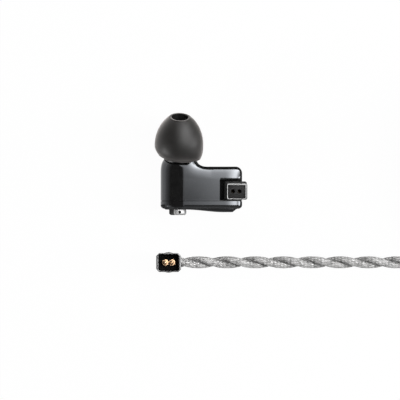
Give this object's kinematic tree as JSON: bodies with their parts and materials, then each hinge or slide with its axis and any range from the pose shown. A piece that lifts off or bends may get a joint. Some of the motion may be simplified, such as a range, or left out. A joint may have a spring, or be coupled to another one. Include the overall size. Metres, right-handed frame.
{
  "type": "in-ear monitor",
  "caption": "In-ear monitor: glossy L-shaped shell, silicone tip on a leaning nozzle, vent dial and pin socket, with its unplugged twisted lead coiled beside it.",
  "frame": {"origin": "on the shell's flat back, at half the shell's length and half the height of its side wall", "axes": "+Z out of the front with the socket, away from the table; +Y towards the ear tip; +X towards the socket's end"},
  "size_m": [0.1231, 0.0554, 0.0127],
  "materials": {
    "gloss_black": "gloss",
    "satin_black": "satin",
    "silicone": "matte",
    "rubber": "matte",
    "steel": "satin",
    "chrome": "polished",
    "grey_metal": "satin",
    "gold": "polished",
    "copper": "satin",
    "magnet": "satin",
    "felt": "matte",
    "film": "satin",
    "board": "satin",
    "red_wire": "satin",
    "blue_wire": "satin",
    "silver_braid": "satin",
    "strap": "matte"
  },
  "bodies": {
    "housing": {"main_shell": "gloss_black", "faceplate": "gloss_black", "seam_gasket": "rubber", "nozzle": "steel", "nozzle_grille": "grey_metal", "acoustic_damper": "felt", "socket_housing": "satin_black", "socket_contact_left": "gold", "socket_contact_right": "gold", "dial_bush": "steel", "vent_mesh": "grey_metal", "vent_plate": "satin_black", "driver_frame": "satin_black", "driver_yoke": "steel", "driver_magnet": "magnet", "driver_top_plate": "steel", "driver_front_plate": "grey_metal", "driver_terminal_board": "board", "driver_baffle": "satin_black", "wire_positive": "red_wire", "wire_negative": "blue_wire"},
    "soft_tip": {"ear_tip": "silicone"},
    "dial": {"bass_dial": "chrome", "dial_marker": "satin_black", "dial_spindle": "steel", "dial_oring": "rubber", "dial_valve_disc": "steel", "dial_clip": "steel"},
    "cone": {"diaphragm": "film", "voice_coil": "copper"},
    "lead": {"plug_hood": "grey_metal", "plug_insulator": "satin_black", "plug_pin_left": "gold", "plug_pin_right": "gold", "plug_barrel": "grey_metal", "plug_back_cover": "grey_metal", "plug_strain_relief": "rubber", "lead_run": "silver_braid", "lead_coil": "silver_braid", "lead_tail": "silver_braid", "coil_tie": "strap", "jack_boot": "rubber", "jack_barrel": "grey_metal", "jack_sleeve": "gold", "jack_insulator_back": "satin_black", "jack_ring": "gold", "jack_insulator_front": "satin_black", "jack_tip": "gold"}
  },
  "joints": [
    {"name": "ear_tip_pull", "type": "slide", "parent": "housing", "child": "soft_tip", "axis": [0.0367, 0.9556, 0.2924], "range_m": [0, 0.0075]},
    {"name": "bass_dial_turn", "type": "hinge", "parent": "housing", "child": "dial", "pos_m": [-0.0059, -0.00634, 0.00475], "axis": [0, -1, 0], "range_deg": [-135, 135]},
    {"name": "diaphragm_travel", "type": "slide", "parent": "housing", "child": "cone", "axis": [0, 1, 0], "range_m": [-0.00015, 0.00015], "stiffness_N_per_m": 20},
    {"name": "lead_draw", "type": "slide", "parent": "housing", "child": "lead", "axis": [0, -1, 0], "range_m": [0, 0.03]}
  ]
}
